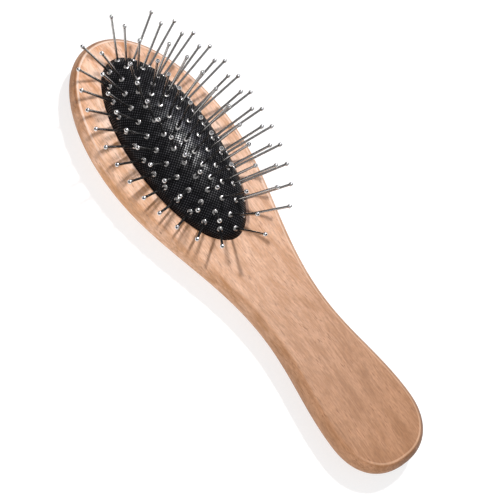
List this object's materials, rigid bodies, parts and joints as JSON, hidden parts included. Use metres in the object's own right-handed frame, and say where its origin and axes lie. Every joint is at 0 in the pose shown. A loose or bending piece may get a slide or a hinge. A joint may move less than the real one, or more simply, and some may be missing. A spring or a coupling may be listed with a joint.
{
  "type": "pin brush",
  "caption": "Wooden grooming brush with a domed air cushion seated in its oval head and fanned ball-ended steel pins.",
  "frame": {"origin": "on the flat of the wooden back, at half the body's length, on the long axis", "axes": "+X from the head's tip to the butt, +Y across, +Z out of the pin side"},
  "size_m": [0.22, 0.0708, 0.0531],
  "materials": {
    "beech": "satin oiled",
    "cushion_face": "plain woven cloth bonded on rubber",
    "pin_steel": "polished"
  },
  "bodies": {
    "root": {"wood_body": "beech", "cushion": "cushion_face", "pins_outer_ring": "pin_steel", "pins_second_ring": "pin_steel", "pins_third_ring": "pin_steel", "pins_centre_row": "pin_steel"}
  },
  "joints": []
}
